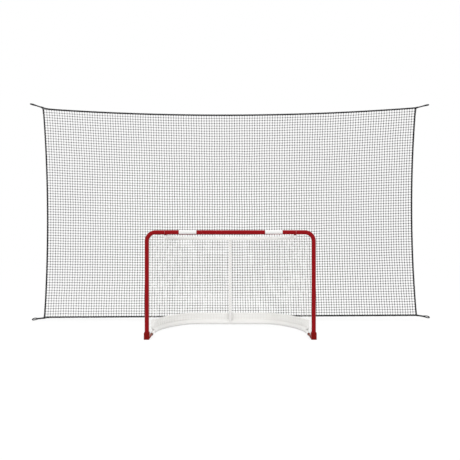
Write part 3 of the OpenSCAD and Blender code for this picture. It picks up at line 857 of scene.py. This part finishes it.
def sheet_quads(rows, cols, kept):
    """Both faces of a sheet, and a wall wherever a kept square has no kept neighbour."""
    inner = rows * cols
    beside = np.pad(kept, 1)
    quads = []
    for i, j in np.argwhere(kept):
        a, b = i * cols + j, (i + 1) * cols + j
        quads.append([a, b, b + 1, a + 1])
        quads.append([inner + a, inner + a + 1, inner + b + 1, inner + b])
        walls = [(beside[i + 1, j], [a, inner + a, inner + b, b]),
                 (beside[i + 1, j + 2], [a + 1, b + 1, inner + b + 1, inner + a + 1]),
                 (beside[i, j + 1], [a, a + 1, inner + a + 1, inner + a]),
                 (beside[i + 2, j + 1], [b, inner + b, inner + b + 1, b + 1])]
        quads.extend(wall for joined, wall in walls if not joined)
    return np.array(quads)


# %% Skirt cloth
outside = skirt_points(cloth_t / 2)
inside = skirt_points(-cloth_t / 2)
rows, cols = outside.shape[:2]
# The pocket is cut open under the lower bracket, from the first point below the pipe's side
middle = np.abs(outside[:, :, 0]).min(1) < bracket_half
kept = np.ones((rows - 1, cols - 1), bool)
kept[middle[:-1] & middle[1:], bracket_points[1]:] = False
sheet_uv = np.stack(np.broadcast_arrays(np.linspace(0, 1, rows)[:, None],
                                        np.linspace(0, 0.10, cols)), -1).reshape(-1, 2)
sheet_uv = np.concatenate([sheet_uv, sheet_uv + [0.0007, 0.12]])
both_faces = np.concatenate([outside.reshape(-1, 3), inside.reshape(-1, 3)])
skirt = quad_object("skirt_cloth", both_faces, sheet_quads(rows, cols, kept), sheet_uv)
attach(skirt, "goal")
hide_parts("back_skirt", "left_skirt", "right_skirt")
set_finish(skirt, "skirt_cloth")

# %% [markdown]
# ## Hem, stitches and skirt lacing
# The raw edge of the canvas is folded into a binding tape, two rows of stitches hold the hem
# and the pocket, and a thin twine lashes the hem to the netting. They are separate pieces on
# the sheet, made from the same section, so they stay on it wherever the skirt bends.

# %% Lines on the skirt
def skirt_line(index, share, offset):
    """Points along the skirt, at a share of the way between two of its section's points."""
    at, other = [layer[:, index] + (layer[:, index + 1] - layer[:, index]) * share
                 for layer in (outside, inside)]
    return at + unit(at - other) * offset


def row_of_stitches(name, line):
    length, gap, radius, sides = 0.0042, 0.0018, 0.0005, 6
    run = arc_lengths(line)
    start = np.arange(0.012, run[-1] - 0.012, length + gap)
    ends = np.stack([start, start + length / 2, start + length])
    path = np.stack([np.interp(ends, run, line[:, i]) for i in range(3)], -1).transpose(1, 0, 2)
    along = unit(path[:, 2] - path[:, 0])
    side = np.cross(along, UP)
    up = np.cross(side, along)
    a = ring_angles(sides)
    fat = np.array([0.45, 1.0, 0.45]) * radius
    rings = (path[:, :, None] + fat[None, :, None, None]
             * (np.cos(a)[:, None] * side[:, None, None] + np.sin(a)[:, None] * up[:, None, None]))
    u = np.interp(ends.T, [0, run[-1]], [0, 1])[:, :, None] + 0.0002 * np.cos(a)
    v = np.broadcast_to(0.01 * np.sin(a + 0.2) + np.array([0, 0.02, 0.04])[None, :, None], u.shape)
    return quad_object(name, *joined_tubes(rings), np.stack([u, v], -1).reshape(-1, 2))


def binding(name, width, thick):
    """A tape folded over the hem: down the outside, over the edge and down the inside."""
    lift = cloth_t / 2 + 0.0002
    normal = unit(outside[:, 0] - inside[:, 0])
    hem = (outside[:, 0] + inside[:, 0]) / 2
    down = unit(outside[:, 1] - outside[:, 0])
    loop = [(width, lift), (0, lift), (-lift, 0), (0, -lift), (width, -lift),
            (width, -lift - thick), (0, -lift - thick), (-lift - thick, 0), (0, lift + thick),
            (width, lift + thick)]
    rings = np.stack([hem + down * d + normal * n for d, n in loop], 1)
    return tube_object(name, rings, np.linspace(0, 1, len(rings)), 0.1, smooth=False)


# %% Skirt trim
hem_tape = binding("skirt_hem_tape", 0.018, 0.0007)
hem_stitches = row_of_stitches("skirt_hem_stitches", skirt_line(1, 0.02, 0.0011))
seam_stitches = row_of_stitches("skirt_seam_stitches", skirt_line(7, 0.75, 0.0004))
for piece in (hem_tape, hem_stitches, seam_stitches):
    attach(piece, "goal")
    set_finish(piece, "white_twine" if piece is not hem_tape else "skirt_cloth")

# %% [markdown]
# ## Edge cords and lacing
# The cut edge of a net is gathered on a cord. At the posts and the crossbar the cord runs
# through small steel staples that are welded behind the pipe, where no puck reaches them. At
# the top pipe a lace goes round the pipe and both nets, once for every mesh.

# %% Edge cords
edge_d = 0.004
climb = np.linspace(0, WALL_ROWS, 400)
around = np.linspace(0, WALL_COLS, 900)
EDGE_LINES = {
    "right_edge_cord": wall_surface(np.zeros(400), climb),
    "left_edge_cord": wall_surface(np.full(400, float(WALL_COLS)), climb),
    "upper_edge_cord": wall_surface(around, np.full(900, float(WALL_ROWS))),
    "lower_edge_cord": wall_surface(around, np.zeros(900)),
    "roof_edge_cord": roof_surface(np.linspace(0, ROOF_COLS, 120), np.zeros(120)),
}
for name, line in EDGE_LINES.items():
    piece = round_cord(name, line, edge_d)
    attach(piece, "goal")
    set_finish(piece, "white_twine")
    print(name, round(float(arc_lengths(line)[-1]), 3), "m")


# %% Lacing round the top pipe and the hem
def top_pipe_line(s):
    x, y = plan_point(TOP, 0.0, s, 0.0)
    return np.stack([x, y + goal_y, top_front_z - top_drop * y / TOP[1]], 1)


lace_s = np.linspace(0.32, 3.86, 1500)
hem_line = (outside[:, 1] + inside[:, 1]) / 2
# Name, the line it winds round, radius of the winding, twine and pitch
LACES = [
    ("right_top_lace", top_pipe_line(lace_s), top_r + 0.0042, 0.0026, goal_mesh),
    ("left_top_lace", top_pipe_line(8 - lace_s), top_r + 0.0042, 0.0026, goal_mesh),
    ("skirt_hem_lace", hem_line, 0.0062, 0.0018, goal_mesh / 2),
]
for name, base, radius, twine_d, pitch in LACES:
    path = wound(base, radius, pitch, UP, 16)[0]
    piece = round_cord(name, path, twine_d, 6)
    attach(piece, "goal")
    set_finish(piece, "white_twine")
    print(name, "winds", round(float(arc_lengths(path)[-1]), 2), "m of twine")

# %% [markdown]
# ## Staples behind the red frame
# Each staple is a bent rod, a U with its legs welded to the pipe. All of them are one shape,
# set along the back of the posts, round the corner bends and along the crossbar.

# %% Staples
staple_d = 0.0045
staple_w = 0.016
weld_in = 0.0015
staple_sides = 8
staple_pitch = 0.105
staple_low, staple_inner, staple_outer = 0.16, 0.06, 0.80


def staple_path(centre, tangent):
    a = np.linspace(0, math.pi, 9)
    reach = pipe_r - weld_in + (staple_out + weld_in) * np.minimum(1, 1.25 * np.sin(a))
    return centre - (staple_w / 2 * np.cos(a))[:, None] * tangent + reach[:, None] * BACK


def staple_places():
    for z in np.arange(staple_low, bar_z - corner_r, staple_pitch):
        yield np.array([post_x, goal_y, z]), UP
    for a in np.radians([30, 62]):
        yield (np.array([post_x - corner_r * (1 - math.cos(a)), goal_y,
                         bar_z - corner_r + corner_r * math.sin(a)]),
               np.array([-math.sin(a), 0.0, math.cos(a)]))
    for x in np.arange(staple_inner, staple_outer, staple_pitch):
        yield np.array([x, goal_y, bar_z]), np.array([1.0, 0.0, 0.0])


rods = []
for side in (1, -1):
    for centre, tangent in staple_places():
        path = staple_path(centre, tangent)
        if abs(tangent[0]) > 0.9:
            path -= [0.0, 0.0045, staple_drop]
        path[:, 0] *= side
        facing = np.cross(tangent * [side, 1, 1], BACK)
        rods.append(tube_rings(path, staple_d / 2, staple_sides, facing))
staple_uv = tube_uv(np.linspace(0, 1, len(path)), staple_sides, 0.5)
staples = quad_object("lacing_staples", *joined_tubes(np.array(rods)),
                      np.tile(staple_uv, (len(rods), 1)))
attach(staples, "goal")
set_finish(staples, "red_paint")
print(len(rods), "staples")

# %% [markdown]
# ## Bare bands on the crossbar
# Two bands of white vinyl are wrapped over the top and front of the crossbar and stop short
# of its underside. They are bare here. Each is a thin strip bent to the pipe's radius.

# %% Crossbar bands
BANDS = {"left_crossbar_band": (-0.577, -0.380), "right_crossbar_band": (0.391, 0.586)}
band_lift, band_t, band_edge = 0.0002, 0.0004, 0.0008
a = np.radians(np.linspace(-46, 196, 41))
arc = np.stack([-np.cos(a), np.sin(a)], 1)
loop = np.concatenate([arc * (pipe_r + band_lift + band_t), arc[::-1] * (pipe_r + band_lift)])
sides = len(loop)
for name, (x0, x1) in BANDS.items():
    at = np.array([x0, x0 + band_edge, (x0 + x1) / 2, x1 - band_edge, x1])
    ring = np.array([[[x, goal_y + p[0], bar_z + p[1]] for p in loop] for x in at])
    last = (len(at) - 1) * sides
    quads = tube_quads(len(at), sides)[:last].tolist()
    for k in range(sides // 2 - 1):
        far = sides - 1 - k
        quads.append([k, far, far - 1, k + 1])
        quads.append([last + k, last + k + 1, last + far - 1, last + far])
    band = quad_object(name, ring.reshape(-1, 3), np.array(quads),
                       tube_uv((at - x0) / (x1 - x0), sides, 0.9))
    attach(band, "goal")
    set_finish(band, "white_plastic")
    print(name, "from", x0, "to", x1)

# %% [markdown]
# ## How a finish is built here
# Every finish is one Principled shader with a few small textures that are worked out from
# the surface itself. Object coordinates are used throughout, because the pieces keep their
# place in the model, so a texture has the same real size on every piece that shares it.

# %% Finish helpers
finishes = {}


def feed(tree, socket, value):
    """Links another node's output to a socket, or gives the socket a value of its own."""
    if isinstance(value, bpy.types.NodeSocket):
        tree.links.new(value, socket)
    else:
        socket.default_value = value


def coat(tree, socket, value):
    """Feeds a socket of the finish's own shader."""
    feed(tree, tree.nodes["Principled BSDF"].inputs[socket], value)


def new_finish(slot_name, colour, roughness, **sockets):
    material = bpy.data.materials.new(slot_name + "_finish")
    material.use_nodes = True
    finishes[slot_name] = material
    sockets.update(Base_Color=(*colour, 1), Roughness=roughness)
    for socket, value in sockets.items():
        coat(material.node_tree, socket.replace("_", " "), value)
    return material.node_tree


def add(tree, kind, output, inputs, **settings):
    """A new node with its sockets fed. The answer is the output that is asked for."""
    node = tree.nodes.new("ShaderNode" + kind)
    for key, value in settings.items():
        setattr(node, key, value)
    for socket, value in inputs.items():
        feed(tree, node.inputs[socket], value)
    return node.outputs[output]


# %% Texture helpers
def place(tree, scale=(1, 1, 1), turn=(0, 0, 0)):
    """Object coordinates in metres, stretched or turned."""
    here = add(tree, "TexCoord", "Object", {})
    return add(tree, "Mapping", "Vector", {"Scale": scale, "Rotation": turn, "Vector": here})


def cloudy(tree, scale, detail=3.0, stretch=(1, 1, 1)):
    where = place(tree, stretch)
    return add(tree, "TexNoise", "Fac", {"Scale": scale, "Detail": detail, "Vector": where})


def striped(tree, period, direction="DIAGONAL", stretch=(1, 1, 1), turn=(0, 0, 0), warp=0.0):
    inputs = {"Scale": 2 * math.pi / (20 * period), "Distortion": warp,
              "Vector": place(tree, stretch, turn)}
    return add(tree, "TexWave", "Fac", inputs, bands_direction=direction)


def ranged(tree, value, low, high, start=0.0, end=1.0):
    return add(tree, "MapRange", "Result", {"Value": value, "From Min": start, "From Max": end,
                                            "To Min": low, "To Max": high})


def times(tree, a, b, kind="MULTIPLY"):
    """Two values multiplied, or joined as kind says."""
    return add(tree, "Math", 0, {0: a, 1: b}, operation=kind)


def blend_colours(tree, share, first, second):
    first, second = [(*c, 1) if isinstance(c, tuple) else c for c in (first, second)]
    return add(tree, "Mix", 2, {"Factor": share, 6: first, 7: second}, data_type="RGBA")


def raised(tree, height, distance, strength):
    inputs = {"Distance": distance, "Strength": strength, "Height": height}
    coat(tree, "Normal", add(tree, "Bump", "Normal", inputs))


def coordinate(tree, axis):
    return add(tree, "SeparateXYZ", axis, {"Vector": place(tree)})


# %% [markdown]
# ## Enamel
# The frame is sprayed and baked. Such paint is never quite flat: it has a fine orange peel,
# its gloss wanders a little, and near the ice it picks up pale scuffs. The rod behind each
# foot is rubbed down to a red-brown, so the foot's paint changes colour along the rod.

# %% Red enamels
def enamel(slot_name, colour, pale, roughness, sheen=0.14):
    tree = new_finish(slot_name, colour, roughness, Specular_IOR_Level=sheen)
    patchy = ranged(tree, cloudy(tree, 7.0), 0.0, 0.35, 0.35, 0.75)
    base = blend_colours(tree, patchy, colour, pale)
    scratch = ranged(tree, cloudy(tree, 90.0, 6.0, (1, 1, 0.25)), 0.0, 1.0, 0.66, 0.74)
    low = ranged(tree, coordinate(tree, "Z"), 0.5, 0.0, 0.02, 0.45)
    worn = times(tree, scratch, low)
    worn_colour = tuple(min(1.0, c * 1.3 + 0.02) for c in colour)
    painted = blend_colours(tree, worn, base, worn_colour)
    coat(tree, "Base Color", painted)
    gloss = ranged(tree, cloudy(tree, 30.0), roughness - 0.05, roughness + 0.08, 0.3, 0.7)
    coat(tree, "Roughness", gloss)
    raised(tree, cloudy(tree, 420.0, 2.0), 0.00012, 0.5)
    return tree, painted


enamel("red_paint", (0.218, 0.0008, 0.0034), (0.245, 0.0018, 0.0048), 0.34, 0.09)
enamel("dark_red_paint", (0.120, 0.0060, 0.0060), (0.150, 0.0080, 0.0080), 0.42)
tree, painted = enamel("foot_paint", (0.165, 0.0020, 0.0015), (0.190, 0.0032, 0.0025), 0.38, 0.08)
along_rod = ranged(tree, coordinate(tree, "Y"), 0.0, 1.0, goal_y + 0.036, goal_y + 0.075)
rubbed = times(tree, along_rod, ranged(tree, cloudy(tree, 26.0, 5.0), 0.55, 1.0, 0.3, 0.6))
coat(tree, "Base Color", blend_colours(tree, rubbed, painted, (0.200, 0.030, 0.005)))
print("red enamels ready")

# %% White enamel, zinc and plastic
enamel("white_paint", (0.800, 0.790, 0.775), (0.840, 0.832, 0.818), 0.34, 0.4)

tree = new_finish("zinc", (0.62, 0.63, 0.64), 0.34, Metallic=1.0)
coat(tree, "Roughness", ranged(tree, cloudy(tree, 160.0), 0.24, 0.46, 0.3, 0.7))
raised(tree, cloudy(tree, 700.0), 0.00008, 0.5)


def moulded(slot_name, colour, pale, roughness):
    tree = new_finish(slot_name, colour, roughness, Specular_IOR_Level=0.25)
    coat(tree, "Base Color", blend_colours(tree, cloudy(tree, 18.0), colour, pale))
    gloss = ranged(tree, cloudy(tree, 60.0), roughness - 0.06, roughness + 0.08, 0.3, 0.7)
    coat(tree, "Roughness", gloss)
    raised(tree, cloudy(tree, 1100.0, 2.0), 0.00005, 0.5)


moulded("black_plastic", (0.028, 0.028, 0.030), (0.040, 0.040, 0.042), 0.48)
moulded("white_plastic", (0.660, 0.656, 0.648), (0.700, 0.696, 0.688), 0.55)
print("hard finishes ready")

# %% [markdown]
# ## Twine, rope and canvas
# Twine is braided, so close up it has a fine slanting pattern, and rope shows the yarns in
# each strand. Canvas is a plain weave. All three are matt with a soft sheen at the edges,
# Near the floor the band's foot is painted greyer: this is painted shade where it meets the floor.

# %% Fibre finishes
def fibre(slot_name, dark, light, yarn, roughness, depth, sheen):
    tree = new_finish(slot_name, light, roughness, Sheen_Weight=sheen, Sheen_Roughness=0.5)
    braid = striped(tree, yarn, warp=1.5)
    other = striped(tree, yarn, "Z", (1, 1, 1), (0, math.radians(35), math.radians(20)), 1.5)
    woven = times(tree, braid, other, "MAXIMUM")
    shade = times(tree, ranged(tree, woven, 0.35, 1.0), ranged(tree, cloudy(tree, 11.0), 0.75, 1.0))
    coat(tree, "Base Color", blend_colours(tree, shade, dark, light))
    raised(tree, woven, depth, 0.7)


fibre("white_twine", (0.66, 0.655, 0.63), (0.83, 0.825, 0.805), 0.0018, 0.72, 0.0003, 0.05)
fibre("black_twine", (0.006, 0.006, 0.007), (0.016, 0.016, 0.018), 0.0016, 0.82, 0.0003, 0.05)
fibre("black_rope", (0.005, 0.005, 0.006), (0.014, 0.014, 0.016), 0.0020, 0.80, 0.0004, 0.05)

tree = new_finish("skirt_cloth", (0.88, 0.872, 0.845), 0.62, Sheen_Weight=0.35)
weft, warp_x, warp_y = [striped(tree, 0.0016, axis) for axis in "ZXY"]
canvas = times(tree, weft, times(tree, warp_x, warp_y, "MAXIMUM"))
mottled = times(tree, ranged(tree, cloudy(tree, 5.0, 4.0), 0.35, 1.0, 0.3, 0.7),
                ranged(tree, canvas, 0.75, 1.0))
unshaded_cloth = blend_colours(tree, mottled, (0.86, 0.852, 0.828), (0.95, 0.945, 0.925))
# Painted shade: the canvas is painted greyer over its lowest 7 cm, where it meets the floor.
unshaded_share = ranged(tree, coordinate(tree, "Z"), 0.0, 1.0, 0.0, 0.070)
coat(tree, "Base Color", blend_colours(tree, unshaded_share, (0.70, 0.695, 0.68), unshaded_cloth))
raised(tree, times(tree, canvas, ranged(tree, cloudy(tree, 14.0), 0.6, 1.0)), 0.0003, 0.6)
print("fibre finishes ready")

# %% Give every piece its finish
slots_of = {row["node"]: row["material_slot"] for row in frame["record"]["subparts"]}
new_pieces = [piece for piece in bpy.data.objects
              if piece.get("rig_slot") and piece.name not in frame["nodes"]]


def dress(piece, slot_name):
    piece.data.materials.clear()
    piece.data.materials.append(finishes[slot_name])


for node, piece in frame["nodes"].items():
    dress(piece, slots_of[node])
for piece in new_pieces:
    dress(piece, piece["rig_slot"])
print("finishes on", len(frame["nodes"]), "nodes and", len(new_pieces), "new pieces")

# %% [markdown]
# ## Floor, light and surroundings
# The set is a white studio: a pale floor, a white surround that gives most of the light, and
# wide soft lamps that give it a direction. The floor shows the camera a white of its own and
# still takes the object's shadow, so no extra light is needed to make the background white.

# %% Surround
scene = bpy.context.scene
scene.view_settings.view_transform = "Standard"


def seen_directly(tree):
    """1 for camera, glossy and transmission rays, 0 for light that falls on the object."""
    rays = tree.nodes.new("ShaderNodeLightPath").outputs
    seen = times(tree, rays["Is Camera Ray"], rays["Is Glossy Ray"], "MAXIMUM")
    return times(tree, seen, rays["Is Transmission Ray"], "MAXIMUM")


sky_light = 0.85
world = bpy.data.worlds.new("studio")
world.use_nodes = True
scene.world = world
tree = world.node_tree
sky = tree.nodes["Background"]
sky.inputs["Color"].default_value = (1, 1, 1, 1)
feed(tree, sky.inputs["Strength"], ranged(tree, seen_directly(tree), sky_light, 1.0))
print("surround lights at", sky_light, "and is seen at 1")

# %% [markdown]
# ## Floor
# Only the floor near the goal takes light and shadow as it is seen. It fades into an even
# white with distance, and a glow makes up for what the lamps don't give.

# %% Studio floor
half_side, fade_area = 60.0, 25
floor_bounce, near_grey = 0.82, 0.28
corners = [(x * half_side, y * half_side, 0) for x, y in ((-1, -1), (1, -1), (1, 1), (-1, 1))]
floor_mesh = bpy.data.meshes.new("studio_floor")
floor_mesh.from_pydata(corners, [], [(0, 1, 2, 3)])
floor = bpy.data.objects.new("studio_floor", floor_mesh)
scene.collection.objects.link(floor)
tree = new_finish("studio_floor", (1, 1, 1), 0.9, Specular_IOR_Level=0.0,
                  Emission_Color=(1, 1, 1, 1))
direct = seen_directly(tree)
away = add(tree, "VectorMath", "Value", {0: place(tree)}, operation="LENGTH")
nearness = times(tree, times(tree, times(tree, away, away), -1 / fade_area), 0.0, "EXPONENT")
grey = ranged(tree, direct, floor_bounce, times(tree, nearness, near_grey))
coat(tree, "Base Color", grey)
glow = times(tree, times(tree, nearness, -near_grey), 1.0, "ADD")
coat(tree, "Emission Strength", times(tree, glow, direct))
dress(floor, "studio_floor")
print("floor is", 2 * half_side, "m wide")


# %% Lamps
def soft_lamp(name, stand, aim, size, power):
    data = bpy.data.lights.new(name, "AREA")
    data.shape = "RECTANGLE"
    data.size, data.size_y = size
    data.energy = power
    lamp = bpy.data.objects.new(name, data)
    lamp.location = stand
    lamp.rotation_euler = (Vector(aim) - Vector(stand)).to_track_quat("-Z", "Y").to_euler()
    scene.collection.objects.link(lamp)


soft_lamp("overhead", (0, goal_y - 0.5, 5.2), (0, goal_y + 0.3, 0.6), (5.0, 3.5), 95)
soft_lamp("front_left", (-8.0, goal_y - 10.5, 5.4), (0, goal_y, 0.8), (5.0, 5.0), 400)
soft_lamp("front_right", (8.5, goal_y - 10.5, 4.8), (0, goal_y, 0.8), (5.0, 5.0), 325)
soft_lamp("behind", (1.5, goal_y + 12.0, 5.6), (0, goal_y, 0.8), (6.0, 5.0), 300)
print("studio ready")
